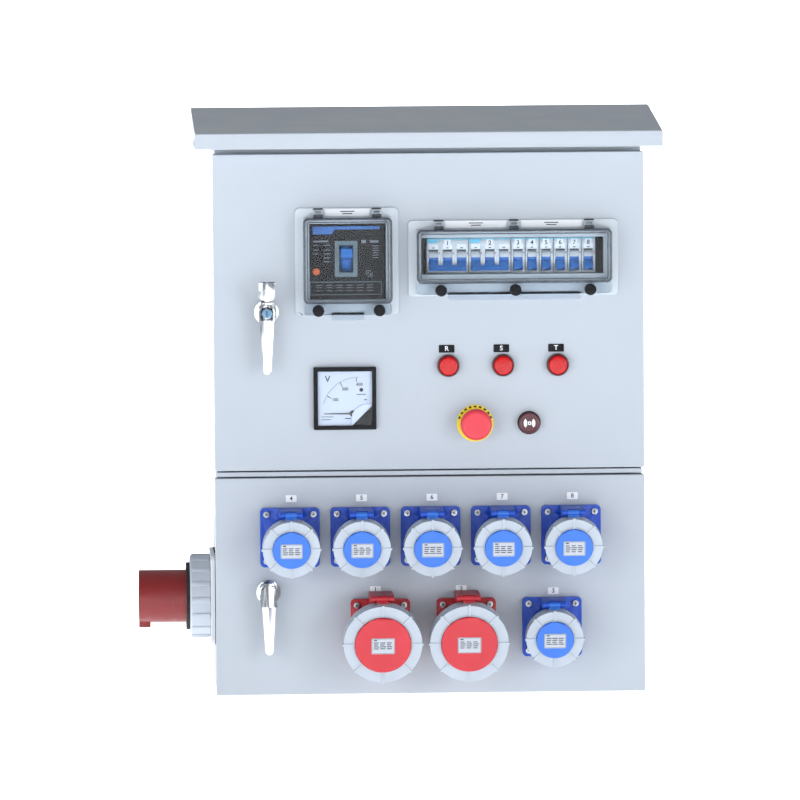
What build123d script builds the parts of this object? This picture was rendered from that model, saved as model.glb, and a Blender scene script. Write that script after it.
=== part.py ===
from build123d import *
import os
from math import atan2, cos, degrees, radians, sin

# Portable power distribution box: a sheet-steel body with a rain hood, two overlay doors hinged on
# the right, breakers behind hinged clear windows, panel instruments, eight tilted panel sockets and
# an appliance inlet. Millimetres, +Z up, front toward -Y, origin at the middle of the body's base.

# Body
body_width = 546
body_height = 703
body_back = 100
body_front = -90
sheet = 1.5
bend = 2.0
opening_width = 504
upper_opening = (311, 675)
lower_opening = (22, 261)
lip_front = -104
divider_z = (283.5, 289)
divider_front = -109
wall_hole_radius = 5
wall_hole_x = 225
wall_hole_z = (50, 650)

# Rain hood
hood_half_width = 298
hood_front = -140
hood_lip_top = 723.5
hood_back_top = 747
hood_sheet = 2.0
hood_vent = (480, 150)

# Doors
door_width = 550
door_face = -112
door_depth = 18
door_inner = door_face + sheet
upper_door_z = (291, 695.5)
lower_door_z = (2.5, 281.5)
seal_width = 12
seal_depth = 6

# Door hinges: a fixed pin on an arm from the frame lip, and two ears on the door
hinge_x = 267
hinge_y = -102
pin_radius = 3
boss_radius = 5
boss_half = 10
ear_gap = 0.3
ear_height = 4
running_gap = 0.06
upper_hinges_z = (345, 640)
lower_hinges_z = (50, 235)

# Moulded-case breaker and its window, (x, z) centres
mccb_centre = (-104, 557.8)
mccb_face = -108
mccb_nose = 96
mccb_toggle_pivot = (-84, 561)
mccb_toggle_x = -105.3
mccb_rest_angle = 12

# Miniature breakers: number of poles of each, from the left
mcb_poles = (3, 3, 1, 1, 1, 1, 1, 1)
module = 18
mcb_left = -3
mcb_z = 564
mcb_face = -108
mcb_pivot = (-100, 561)
mcb_rest_angle = 40
rail_y = -42

# Hinged windows: (x low, x high, z low, z high) of base, lid and opening
mccb_base = (-171, -39, 490, 626.5)
mccb_lid = (-160.6, -48, 490.5, 614.3)
mccb_opening = (-153, -55, 508.8, 606.8)
mccb_clips = (-141.5, -67)
mccb_screws = (-142.5, -64.5)
mcb_base = (-26.5, 241.5, 512.5, 609.5)
mcb_lid = (-15.8, 232.4, 515, 598)
mcb_opening = (-9.9, 222.7, 540.6, 587.4)
mcb_clips = (12.3, 108.3, 204.6)
mcb_screws = (14, 109, 204.5)
base_front = -115
rim_front = -121
lid_back = -122
lid_front = -137
lid_wall = 2.5
clip_y = -119
clip_rise = 4.7
thumb_radius = 7

# Panel instruments, (x, z) centres
meter_centre = (-108.5, 383)
meter_size = 80
meter_glass = 69
needle_pivot = (-98.4, 363.3)
needle_length = 37
lamp_x = (24, 94, 164)
lamp_z = 423.5
lamp_radius = 14.5
estop_centre = (58, 349.5)
estop_travel = 5
buzzer_centre = (127, 349.5)

# Swing-handle locks
lock_x = -208
upper_lock_z = 494
lower_lock_z = 135
spindle_radius = 6
lever_length = 78
lever_back = -132
lever_front = -139
flap_y = -141
flap_rise = 13.5
flap_length = 30
upper_flap_open = 155
cam_reach = 36

# Tilted panel sockets, (x, z) of each flange centre, numbered from 1
tilt = 10
red_sockets = {1: (-65, 87.5), 2: (45, 87.5)}
blue_sockets = {3: (155, 87.5), 4: (-180, 205.5), 5: (-90, 205.5), 6: (0, 205.5),
                7: (90, 205.5), 8: (180, 205.5)}
flange_size = 76
flange_depth = 7
screw_pitch = 60
blue = dict(shoulder=10, neck=29, tube=30, bore=27.5, insert=21, mouth=46, rim=11.7,
            ring=36.5, disc=24, hinge=42, pins=3, pin=3.2, pin_circle=10)
red = dict(shoulder=16, neck=34, tube=42, bore=38.5, insert=31, mouth=58, rim=14.7,
           ring=50, disc=36, hinge=55.5, pins=5, pin=4.2, pin_circle=17)
skirt_gap = 2.6
skirt_overlap = 4.5
ring_twist = 45

# Appliance inlet on the left wall
inlet_y = 5
inlet_z = 119.5
inlet_wall = -body_width / 2
inlet_tip = -372
inlet_sleeve_radius = 34
inlet_ring_radius = 53
inlet_flange_size = 116


def front(y):
    """Plane facing the front at depth y, with sketch axes +X and +Z."""
    return Plane.XZ.offset(-y)


def across(x):
    """Plane facing +X at x, with sketch axes +Y and +Z."""
    return Plane.YZ.offset(x)


def save(part, name):
    part.label = name
    export_step(part, f"parts/{name}.step")


def middle(span):
    return (span[0] + span[1]) / 2


def block(x, y, z, mode=Mode.ADD):
    """A plain block between the low and high value of each axis."""
    size = [high - low for low, high in (x, y, z)]
    with Locations((middle(x), middle(y), middle(z))):
        Box(*size, mode=mode)


def frame_sketch(x, z, width):
    """A rectangular ring of the given width outside the box x, z."""
    with Locations((middle(x), middle(z))):
        Rectangle(x[1] - x[0] + 2 * width, z[1] - z[0] + 2 * width)
        Rectangle(x[1] - x[0], z[1] - z[0], mode=Mode.SUBTRACT)


def make_shell():
    half = body_width / 2
    openings = (upper_opening, lower_opening)
    with BuildPart() as shell:
        block((-half, half), (body_front, body_back), (0, body_height))
        fillet(shell.edges().filter_by(Axis.Z), bend)
        block((-half + sheet, half - sheet), (body_front + sheet, body_back - sheet),
              (sheet, body_height - sheet), Mode.SUBTRACT)
        for low, high in openings:
            side = opening_width / 2
            block((-side, side), (body_front - 1, body_front + sheet), (low, high), Mode.SUBTRACT)
            with BuildSketch(front(body_front + sheet)):
                inner = side - sheet
                frame_sketch((-inner, inner), (low + sheet, high - sheet), sheet)
            extrude(amount=body_front + sheet - lip_front)
        block((-half + 1, half - 1), (divider_front, body_front + sheet), divider_z)
        block((-half + 1 + sheet, half - 1 - sheet), (divider_front + sheet, body_front + 2 * sheet),
              (divider_z[0] + sheet, divider_z[1] - sheet), Mode.SUBTRACT)
        with BuildSketch(front(body_back)):
            for z in wall_hole_z:
                with Locations((-wall_hole_x, z), (wall_hole_x, z)):
                    Circle(wall_hole_radius)
        extrude(amount=2 * sheet, mode=Mode.SUBTRACT)
        with BuildSketch(across(inlet_wall)):
            with Locations((inlet_y, inlet_z)):
                Circle(inlet_sleeve_radius + 1)
        extrude(amount=2 * sheet, mode=Mode.SUBTRACT)
    save(shell.part, "enclosure_shell")


def make_hood():
    with BuildPart() as hood:
        with BuildSketch(Plane.YZ):
            with BuildLine():
                Polyline((hood_front, body_height), (hood_front, hood_lip_top),
                         (body_back, hood_back_top), (body_back, body_height), close=True)
            make_face()
        extrude(amount=hood_half_width, both=True)
        top = hood.faces().sort_by(Axis.Z)[-1]
        fillet(top.edges(), bend)
        with BuildSketch(Plane.YZ):
            with BuildLine():
                Polyline((hood_front, body_height), (hood_front, hood_lip_top),
                         (body_back, hood_back_top), (body_back, body_height), close=True)
            make_face()
            offset(amount=-hood_sheet, mode=Mode.REPLACE)
        extrude(amount=hood_half_width - hood_sheet, both=True, mode=Mode.SUBTRACT)
        with BuildSketch(Plane.XY.offset(body_height)):
            Rectangle(*hood_vent)
        extrude(amount=hood_sheet, mode=Mode.SUBTRACT)
    save(hood.part, "rain_hood")


def make_hinge_brackets():
    with BuildPart() as brackets:
        for z in (*upper_hinges_z, *lower_hinges_z):
            block((opening_width / 2, hinge_x), (lip_front, lip_front + 4), (z - 9, z + 9))
            with BuildSketch(Plane.XY.offset(z - boss_half)):
                with Locations((hinge_x, hinge_y)):
                    Circle(boss_radius)
            extrude(amount=2 * boss_half)
            reach = boss_half + ear_gap + ear_height + 1
            with BuildSketch(Plane.XY.offset(z - reach)):
                with Locations((hinge_x, hinge_y)):
                    Circle(pin_radius)
            extrude(amount=2 * reach)
    save(brackets.part, "hinge_brackets")


def add_hinge_ears(heights):
    """Two ears round the pin at each hinge, joined to the door's face and its side return."""
    for z in heights:
        for low in (z + boss_half + ear_gap, z - boss_half - ear_gap - ear_height):
            block((hinge_x - 5, door_width / 2 - sheet), (door_inner, hinge_y + 5),
                  (low, low + ear_height))
            with BuildSketch(Plane.XY.offset(low)) as bore:
                with Locations((hinge_x, hinge_y)):
                    Circle(pin_radius + running_gap)
            extrude(bore.sketch, amount=ear_height, mode=Mode.SUBTRACT)


def door_tray(z):
    """The folded tray of a door: face sheet and four returns."""
    half = door_width / 2
    with BuildPart() as tray:
        block((-half, half), (door_face, door_face + door_depth), z)
        fillet(tray.edges().filter_by(Axis.Y), bend)
        fillet(tray.faces().sort_by(Axis.Y)[0].edges(), bend * 0.75)
        block((-half + sheet, half - sheet), (door_inner, door_face + door_depth + 1),
              (z[0] + sheet, z[1] - sheet), Mode.SUBTRACT)
    return tray.part


def make_seal(z, name):
    half = opening_width / 2 - sheet / 2 - seal_width / 2
    inset = sheet / 2 + seal_width / 2
    with BuildPart() as seal:
        with BuildSketch(front(door_inner)):
            frame_sketch((-half, half), (z[0] + inset, z[1] - inset), seal_width)
        extrude(amount=-seal_depth)
    save(seal.part, name)


def lock_hole(z):
    with Locations((lock_x, z)):
        Circle(11)


def make_upper_door():
    tray = door_tray(upper_door_z)
    with BuildPart() as door:
        add(tray)
        add_hinge_ears(upper_hinges_z)
        with BuildSketch(front(door_face)):
            for x_low, x_high, z_low, z_high in (mccb_opening, mcb_opening):
                with Locations((middle((x_low, x_high)), middle((z_low, z_high)))):
                    Rectangle(x_high - x_low + 8, z_high - z_low + 8)
            with Locations(meter_centre):
                Rectangle(68, 68)
            with Locations(*[(x, lamp_z) for x in lamp_x], estop_centre, buzzer_centre):
                Circle(11.2)
            lock_hole(upper_lock_z)
        extrude(amount=-sheet, mode=Mode.SUBTRACT)
    save(door.part, "upper_door")


def make_lower_door():
    tray = door_tray(lower_door_z)
    with BuildPart() as door:
        add(tray)
        add_hinge_ears(lower_hinges_z)
        with BuildSketch(front(door_face)):
            for sockets, size in ((blue_sockets, blue), (red_sockets, red)):
                with Locations(*sockets.values()):
                    Circle(size["neck"] + 2)
                    with GridLocations(screw_pitch, screw_pitch, 2, 2):
                        Circle(2.2)
            lock_hole(lower_lock_z)
        extrude(amount=-sheet, mode=Mode.SUBTRACT)
    save(door.part, "lower_door")


def make_mounting_plate():
    plate_y = 75
    with BuildPart() as plate:
        block((-235, 235), (plate_y, plate_y + 2), (312, 672))
        with BuildSketch(front(body_back - sheet)):
            with Locations(*[(x, z) for x in (-215, 215) for z in (330, 654)]):
                Circle(6)
        extrude(amount=body_back - sheet - plate_y - 2)
        x, z = mccb_centre
        block((x - 46, x + 46), (-30, -28), (z - 75, z + 75))
        for side in (x - 46, x + 44):
            block((side, side + 2), (-28, plate_y), (z - 60, z + 60))
    save(plate.part, "mounting_plate")


def make_din_rail():
    ends = (mcb_left - 24, mcb_left + 240)
    with BuildPart() as rail:
        for side in (-1, 1):
            flange = sorted((mcb_z + side * 17.5, mcb_z + side * 12.5))
            web = sorted((mcb_z + side * 13.5, mcb_z + side * 12.5))
            block(ends, (rail_y, rail_y + 1), flange)
            block(ends, (rail_y, rail_y + 7.5), web)
        block(ends, (rail_y + 6.5, rail_y + 7.5), (mcb_z - 13.5, mcb_z + 13.5))
        for x in (ends[0] + 2, ends[1] - 6):
            block((x, x + 4), (rail_y + 7.5, 75), (mcb_z - 13.5, mcb_z + 13.5))
    save(rail.part, "din_rail")


def make_terminal_bars():
    wall = body_back - sheet
    with BuildPart() as bars:
        for z in (190, 225):
            for x in (-80, 80):
                block((x - 8, x + 8), (wall - 16, wall), (z - 9, z + 9))
            block((-110, 110), (wall - 21, wall - 16), (z - 6, z + 6))
            with BuildSketch(front(wall - 21)):
                with Locations((0, z)):
                    with GridLocations(18, 1, 11, 1):
                        Circle(3.5)
            extrude(amount=3)
    save(bars.part, "terminal_bars")


def toggle_sketch(pivot, hub, reach, thick, angle):
    """Hub and handle of a toggle seen from the side; angle is the handle's rise toward the front."""
    turn = 180 - angle
    with Locations(pivot):
        Circle(hub)
    half = reach / 2
    with Locations((pivot[0] + half * cos(radians(turn)), pivot[1] + half * sin(radians(turn)))):
        Rectangle(reach, thick, rotation=turn)


def make_mccb():
    x, z = mccb_centre
    slot = 8
    with BuildPart() as body:
        block((x - 48, x + 48), (mccb_face, -96), (z - 48, z + 48))
        block((x - 46, x + 46), (-96, -30), (z - 75, z + 75))
        block((mccb_toggle_x - slot, mccb_toggle_x + slot), (mccb_face, -60),
              (z - 20, z + 26), Mode.SUBTRACT)
        with BuildSketch(across(mccb_toggle_x)):
            with Locations(mccb_toggle_pivot):
                Circle(2 + running_gap)
        extrude(amount=slot + 3.3, both=True, mode=Mode.SUBTRACT)
    save(body.part, "mccb_body")

    with BuildPart() as toggle:
        with BuildSketch(across(mccb_toggle_x)):
            toggle_sketch(mccb_toggle_pivot, 22, 39, 11, mccb_rest_angle)
        extrude(amount=slot - 0.6, both=True)
        with BuildSketch(across(mccb_toggle_x)):
            with Locations(mccb_toggle_pivot):
                Circle(2)
        extrude(amount=slot + 3, both=True)
    save(toggle.part, "mccb_toggle")


def make_mcbs():
    """The row of miniature breakers, and one toggle for each, ganged over its poles."""
    slot_half = 6
    spans = []
    left = mcb_left
    for poles in mcb_poles:
        spans.append((left, poles))
        left += poles * module
    with BuildPart() as bodies:
        for left, poles in spans:
            x = (left + 0.1, left + poles * module - 0.1)
            block(x, (mcb_face, -90), (mcb_z - 22.4, mcb_z + 22.4))
            block(x, (-90, rail_y), (mcb_z - 42.5, mcb_z + 42.5))
        for left, poles in spans:
            for pole in range(poles):
                x = left + (pole + 0.5) * module
                block((x - slot_half, x + slot_half), (mcb_face, -90.5),
                      (mcb_z - 19, mcb_z + 14), Mode.SUBTRACT)
            with BuildSketch(across(left + 1.5)):
                with Locations(mcb_pivot):
                    Circle(1.5 + running_gap)
            extrude(amount=poles * module - 3, mode=Mode.SUBTRACT)
    save(bodies.part, "mcb_bodies")

    for number, (left, poles) in enumerate(spans, start=1):
        with BuildPart() as toggle:
            for pole in range(poles):
                with BuildSketch(across(left + (pole + 0.5) * module)):
                    toggle_sketch(mcb_pivot, 8, 22, 5.5, -mcb_rest_angle)
                extrude(amount=slot_half - 0.5, both=True)
            with BuildSketch(across(left + 1.8)):
                with Locations(mcb_pivot):
                    Circle(1.5)
            extrude(amount=poles * module - 3.6)
            if poles > 1:
                tip = 19.5
                turn = radians(180 + mcb_rest_angle)
                with BuildSketch(across(left + 3.5)):
                    with Locations((mcb_pivot[0] + tip * cos(turn), mcb_pivot[1] + tip * sin(turn))):
                        Rectangle(5, 5.5, rotation=degrees(turn))
                extrude(amount=poles * module - 7)
        save(toggle.part, f"mcb_toggle_{number}")


def make_window(base, lid, opening, clips, screws, screw_z, tab, name):
    """A fixed frame on the door and its clear lid, hinged on clips along the top edge."""
    hinge_z = lid[3] + clip_rise
    pin = 1.5
    with BuildPart() as frame:
        with BuildSketch(front(door_face)):
            with Locations((middle(base[:2]), middle(base[2:]))):
                RectangleRounded(base[1] - base[0], base[3] - base[2], 6)
        extrude(amount=door_face - base_front)
        block(lid[:2], (rim_front, base_front), lid[2:])
        for x in clips:
            for low in (x - 6, x + 3.7):
                block((low, low + 2.3), (rim_front - 0.5, base_front), (lid[3], hinge_z + 3.5))
            with BuildSketch(across(x)):
                with Locations((clip_y, hinge_z)):
                    Circle(pin)
            extrude(amount=5, both=True)
        block(opening[:2], (rim_front - 1, door_face + 1), opening[2:], Mode.SUBTRACT)
    save(frame.part, f"{name}_window_frame")

    with BuildPart() as cover:
        block(lid[:2], (lid_front, lid_back), lid[2:])
        fillet(cover.edges().filter_by(Axis.Y), 5)
        fillet(cover.faces().sort_by(Axis.Y)[0].edges(), 4)
        block((lid[0] + lid_wall, lid[1] - lid_wall), (lid_front + lid_wall, lid_back),
              (lid[2] + lid_wall, lid[3] - lid_wall), Mode.SUBTRACT)
        block(tab, (lid_back - 4, lid_back), (lid[2] - 7, lid[2] + 3))
        for x in clips:
            block((x - 3.4, x + 3.4), (lid_back - 3, lid_back), (lid[3] - 2.5, hinge_z))
            block((x - 3.4, x + 3.4), (lid_back - 3, clip_y), (hinge_z - 3.3, hinge_z))
            with BuildSketch(across(x)):
                with Locations((clip_y, hinge_z)):
                    Circle(3.3)
            extrude(amount=3.4, both=True)
            with BuildSketch(across(x)):
                with Locations((clip_y, hinge_z)):
                    Circle(pin + running_gap)
            extrude(amount=4, both=True, mode=Mode.SUBTRACT)
        with BuildSketch(front(lid_back)):
            with Locations(*[(x, screw_z) for x in screws]):
                Circle(2.6)
        extrude(amount=lid_back - lid_front, mode=Mode.SUBTRACT)
        with BuildSketch(front(lid_front)):
            with Locations(*[(x, screw_z) for x in screws]):
                Circle(thumb_radius)
        extrude(amount=8)
        with BuildSketch(front(lid_back)):
            with Locations(*[(x, screw_z) for x in screws]):
                Circle(2.5)
        extrude(amount=lid_back - lid_front)
    save(cover.part, f"{name}_window_lid")


def make_meter():
    x, z = meter_centre
    half = meter_size / 2
    glass = meter_glass / 2
    dial_y = -114
    with BuildPart() as case:
        block((x - half, x + half), (-119, door_face), (z - half, z + half))
        block((x - 33, x + 33), (door_face, -55), (z - 33, z + 33))
        block((x - glass, x + glass), (-119, dial_y), (z - glass, z + glass), Mode.SUBTRACT)
        with BuildSketch(front(dial_y)):
            with Locations(needle_pivot):
                Circle(pin_radius / 2 + running_gap)
        extrude(amount=-8, mode=Mode.SUBTRACT)
        block((x - glass, x + glass), (-118.5, -117.3), (z - glass, z + glass))
    save(case.part, "meter_case")

    with BuildPart() as needle:
        with BuildSketch(front(dial_y - 0.8)):
            with Locations(needle_pivot):
                Circle(4)
            with BuildLine():
                px, pz = needle_pivot
                Polyline((px, pz + 1), (px - needle_length, pz + 0.4), (px - needle_length, pz - 0.4),
                         (px, pz - 1), close=True)
            make_face()
        extrude(amount=0.8)
        with BuildSketch(front(dial_y - 0.8)):
            with Locations(needle_pivot):
                Circle(pin_radius / 2)
        extrude(amount=-8)
    save(needle.part, "meter_needle")


def disc(centre, radius, y_rear, y_front, mode=Mode.ADD):
    """A disc facing the front, between two depths."""
    with BuildSketch(front(y_rear)) as profile:
        with Locations(centre):
            Circle(radius)
    extrude(profile.sketch, amount=y_rear - y_front, mode=mode)


def make_signal_units():
    with BuildPart() as signals:
        for centre in [(x, lamp_z) for x in lamp_x] + [buzzer_centre]:
            disc(centre, lamp_radius, door_face, door_face - 6)
            disc(centre, 11, -70, door_face)
            disc(centre, 14, -105, door_inner)
        rims = signals.faces().filter_by(Axis.Y).group_by(Axis.Y)[0].edges()
        fillet(rims, 1.5)
        for centre in [(x, lamp_z) for x in lamp_x]:
            disc(centre, 12.4, door_face - 6, door_face - 10)
        domes = signals.faces().filter_by(Axis.Y).group_by(Axis.Y)[0].edges()
        fillet(domes, 3)
    save(signals.part, "signal_units")


def make_estop():
    with BuildPart() as body:
        disc(estop_centre, 23.5, door_face, door_face - 2)
        disc(estop_centre, 14.5, door_face - 2, -122)
        disc(estop_centre, 11, -104, door_face)
        disc(estop_centre, 14, -105, door_inner)
        x, z = estop_centre
        block((x - 15, x + 15), (-105, -60), (z - 15, z + 15))
        disc(estop_centre, 6 + running_gap, -85, -122, Mode.SUBTRACT)
    save(body.part, "estop_body")

    with BuildPart() as button:
        disc(estop_centre, 20, -130, -143)
        fillet(button.faces().sort_by(Axis.Y)[0].edges(), 6)
        fillet(button.faces().sort_by(Axis.Y)[-1].edges(), 3)
        disc(estop_centre, 6, -87 - estop_travel, -130)
    save(button.part, "estop_button")


def make_lock(z, name):
    """Lock body, swing lever with its spindle, cam and key cylinder."""
    axis = (lock_x, z)
    with BuildPart() as body:
        disc(axis, 15.5, door_face, -115)
        disc(axis, 10.9, -90, door_face)
        disc(axis, 15, -105, door_inner)
        disc(axis, spindle_radius + running_gap, -90, -115, Mode.SUBTRACT)
    save(body.part, f"{name}_lock_body")

    with BuildPart() as lever:
        disc(axis, 10.5, -115.4, -138)
        disc(axis, spindle_radius, -86.6, -115.4)
        block((lock_x - cam_reach, lock_x + 9), (-89.6, -86.6), (z - 9, z + 9))
        with BuildSketch(front(lever_back)):
            with BuildLine():
                tip = z - lever_length + 5
                Line((lock_x - 5, tip), (lock_x - 9.5, z - 4))
                Line((lock_x - 9.5, z - 4), (lock_x + 9.5, z - 4))
                Line((lock_x + 9.5, z - 4), (lock_x + 5, tip))
                ThreePointArc((lock_x + 5, tip), (lock_x, tip - 5), (lock_x - 5, tip))
            make_face()
        extrude(amount=lever_back - lever_front)
        disc(axis, 7.1, -126, lever_front, Mode.SUBTRACT)
        block((lock_x - 8, lock_x + 8), (lever_front, -138), (z - 9, z + 10), Mode.SUBTRACT)
        hinge = (flap_y, z + flap_rise)
        for side in (-1, 1):
            near, far = sorted((lock_x + side * 3.3, lock_x + side * 6.5))
            with BuildSketch(across(near)):
                with Locations(hinge):
                    Circle(3)
                with Locations((hinge[0] + 4.5, hinge[1] + 1)):
                    Rectangle(9, 4)
                with Locations((hinge[0] + 6, hinge[1] - 1.5)):
                    Rectangle(7, 9)
            extrude(amount=far - near)
        with BuildSketch(across(lock_x)):
            with Locations(hinge):
                Circle(1.2)
        extrude(amount=5, both=True)
        disc(axis, 7, -126, -138.8)
    save(lever.part, f"{name}_lever")


def make_flap(z, opened, name):
    """The dust flap over the key cylinder, turned up about its hinge by the given angle."""
    hinge = (flap_y, z + flap_rise)
    turn = radians(opened)
    leaf = Plane(origin=(lock_x, *hinge), x_dir=(1, 0, 0), z_dir=(0, -cos(turn), sin(turn)))
    near = 3.8
    thickness = 2.8
    with BuildPart() as flap:
        with BuildSketch(leaf.offset(-thickness / 2)):
            with Locations((0, -(near + flap_length) / 2)):
                Rectangle(21, flap_length - near)
            fillet(vertices().group_by(Axis.Y)[-1], 6)
            with Locations((0, -near + 0.8)):
                Rectangle(6, 4)
        extrude(amount=thickness)
        with BuildSketch(across(lock_x)):
            with Locations(hinge):
                Circle(3)
        extrude(amount=3, both=True)
        with BuildSketch(across(lock_x)):
            with Locations(hinge):
                Circle(1.2 + running_gap)
        extrude(amount=4, both=True, mode=Mode.SUBTRACT)
    save(flap.part, name)


def socket_plane(centre, s):
    """Plane square to a socket's tilted axis, s in front of the door along that axis."""
    c, n = cos(radians(tilt)), sin(radians(tilt))
    return Plane(origin=(centre[0], door_face - s * c, centre[1] - s * n), x_dir=(1, 0, 0),
                 z_dir=(0, -c, -n))


def side_plane(centre):
    """Plane through a socket's axis, with sketch axes along the axis and up from it."""
    c, n = cos(radians(tilt)), sin(radians(tilt))
    return Plane(origin=(centre[0], door_face, centre[1]), x_dir=(0, -c, -n), z_dir=(-1, 0, 0))


def tilted_disc(centre, radius, s_low, s_high, bore=0, mode=Mode.ADD):
    """A disc or ring about a socket's axis, between two distances from the door."""
    with BuildSketch(socket_plane(centre, s_low)) as profile:
        Circle(radius)
        if bore:
            Circle(bore, mode=Mode.SUBTRACT)
    extrude(profile.sketch, amount=s_high - s_low, mode=mode)


def hinge_s(size):
    return size["mouth"] + 2.5


def add_housing(size, centre):
    """Flange with its neck and flared shoulder, and the hinge block over the tube."""
    neck, tube, mouth, hinge = size["neck"], size["tube"], size["mouth"], size["hinge"]
    neck_bore = neck - 1.6
    shoulder = size["shoulder"]
    tube_start = shoulder + 10
    with BuildSketch(front(door_face)) as flange:
        with Locations(centre):
            RectangleRounded(flange_size, flange_size, 6)
            with GridLocations(screw_pitch, screw_pitch, 2, 2):
                Circle(2.2, mode=Mode.SUBTRACT)
    extrude(flange.sketch, amount=flange_depth)
    side = side_plane(centre)
    axis = Axis(side.origin, side.x_dir)
    with BuildSketch(side) as outside:
        with BuildLine():
            Polyline((-25, 0), (-25, neck), (shoulder, neck), (shoulder + 8, tube),
                     (tube_start, tube), (tube_start, 0), close=True)
        make_face()
    revolve(outside.sketch, axis=axis)
    arm_top = hinge + 3.5
    arm_front = mouth - 6
    with BuildSketch(side) as arm:
        for s, r in (((-4, tube_start - 1), (neck - 0.5, arm_top)),
                     ((tube_start - 3, arm_front), (tube + 0.2, arm_top))):
            with Locations((middle(s), middle(r))):
                Rectangle(s[1] - s[0], r[1] - r[0])
        with Locations((middle((arm_front, hinge_s(size))), hinge)):
            Rectangle(hinge_s(size) - arm_front, 7)
        with Locations((hinge_s(size), hinge)):
            Circle(3.5)
    extrude(arm.sketch, amount=15, both=True)
    with BuildSketch(side) as inside:
        with BuildLine():
            Polyline((-26, 0), (-26, neck_bore), (shoulder + 4, neck_bore),
                     (tube_start, size["bore"]), (tube_start + 1, size["bore"]),
                     (tube_start + 1, 0), close=True)
        make_face()
    revolve(inside.sketch, axis=axis, mode=Mode.SUBTRACT)
    with BuildSketch(side) as notch:
        with Locations((hinge_s(size) + 1, hinge)):
            Rectangle(10.6, 12)
    extrude(notch.sketch, amount=7.3, both=True, mode=Mode.SUBTRACT)
    with BuildSketch(side) as pin:
        with Locations((hinge_s(size), hinge)):
            Circle(1.5)
    extrude(pin.sketch, amount=14, both=True)


def add_sleeve(size, centre):
    """The tube round a socket's mouth, with its bayonet lugs."""
    mouth, tube = size["mouth"], size["tube"]
    tilted_disc(centre, tube, size["shoulder"] + 10, mouth, size["bore"])
    with BuildSketch(socket_plane(centre, mouth - 3.5)) as lugs:
        with PolarLocations(tube + 0.45, 3, start_angle=180, angular_range=180, endpoint=True):
            Rectangle(2.9, 6)
    extrude(lugs.sketch, amount=2.5)


def make_housings(sockets, size, name):
    with BuildPart() as housings:
        for centre in sockets.values():
            add_housing(size, centre)
    with BuildPart() as sleeves:
        for centre in sockets.values():
            add_sleeve(size, centre)
    save(Compound([*housings.part.solids(), *sleeves.part.solids()]), name)


def make_inserts():
    with BuildPart() as inserts:
        for sockets, size in ((blue_sockets, blue), (red_sockets, red)):
            for centre in sockets.values():
                front_s = size["mouth"] - 6
                tilted_disc(centre, size["neck"] - 1.7, -24, -16)
                tilted_disc(centre, size["insert"], -16, front_s)
                with BuildSketch(socket_plane(centre, front_s)):
                    with PolarLocations(size["pin_circle"], size["pins"], start_angle=90):
                        Circle(size["pin"])
                extrude(amount=-30, mode=Mode.SUBTRACT)
    save(inserts.part, "socket_inserts")


def make_screws():
    with BuildPart() as screws:
        for centre in (*blue_sockets.values(), *red_sockets.values()):
            for radius, y_rear, y_front in ((2, -106, -119), (4, -119, -121.5)):
                with BuildSketch(front(y_rear)):
                    with Locations(centre):
                        with GridLocations(screw_pitch, screw_pitch, 2, 2):
                            Circle(radius)
                extrude(amount=y_rear - y_front)
    save(screws.part, "socket_screws")


def make_lid(size, centre, name):
    mouth, hinge = size["mouth"], size["hinge"]
    rim_radius = size["tube"] + skirt_gap - 0.1
    rim_front = mouth + size["rim"]
    with BuildPart() as lid:
        tilted_disc(centre, rim_radius, mouth + 0.4, rim_front)
        tilted_disc(centre, size["disc"] - 0.1, rim_front, rim_front + 7.3)
        tilted_disc(centre, size["tube"] - 4, mouth + 0.4, rim_front - 2.5, mode=Mode.SUBTRACT)
        side = side_plane(centre)
        with BuildSketch(side):
            with Locations((hinge_s(size), (rim_radius - 2 + hinge) / 2)):
                Rectangle(3, hinge - rim_radius + 2)
            with Locations((hinge_s(size), hinge)):
                Circle(3.3)
        extrude(amount=7, both=True)
        with BuildSketch(side):
            with Locations((hinge_s(size), hinge)):
                Circle(1.5 + running_gap)
        extrude(amount=8, both=True, mode=Mode.SUBTRACT)
    save(lid.part, name)


def make_ring(size, centre, name):
    """Bayonet ring on the lid, with eight grip ribs and a slot for the lid's hinge arm."""
    mouth, outer = size["mouth"], size["ring"]
    bore = size["tube"] + skirt_gap
    step = mouth + size["rim"] + 0.3
    with BuildPart() as ring:
        tilted_disc(centre, outer, mouth - skirt_overlap, step, bore)
        tilted_disc(centre, outer, step, step + 4, size["disc"])
        rib_in, rib_out = size["disc"] + 1.5, outer + 1.5
        with BuildSketch(socket_plane(centre, step + 1)):
            with PolarLocations((rib_in + rib_out) / 2, 8):
                Rectangle(rib_out - rib_in, 3)
        extrude(amount=4)
        edge = degrees(atan2(7.6, bore))
        low, high = 90 - ring_twist - edge, 90 + edge
        with BuildSketch(socket_plane(centre, mouth + 0.6)):
            with BuildLine():
                reach = 1.4 * outer
                corners = [(reach * cos(radians(a)), reach * sin(radians(a)))
                           for a in (low, middle((low, high)), high)]
                Polyline((0, 0), *corners, close=True)
            make_face()
        extrude(amount=3.8, mode=Mode.SUBTRACT)
    save(ring.part, name)


def inlet_disc(radius, x_low, x_high, bore=0, mode=Mode.ADD):
    """A disc or ring about the inlet's axis, between two values of x."""
    with BuildSketch(across(x_low)) as profile:
        with Locations((inlet_y, inlet_z)):
            Circle(radius)
            if bore:
                Circle(bore, mode=Mode.SUBTRACT)
    extrude(profile.sketch, amount=x_high - x_low, mode=mode)


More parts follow.
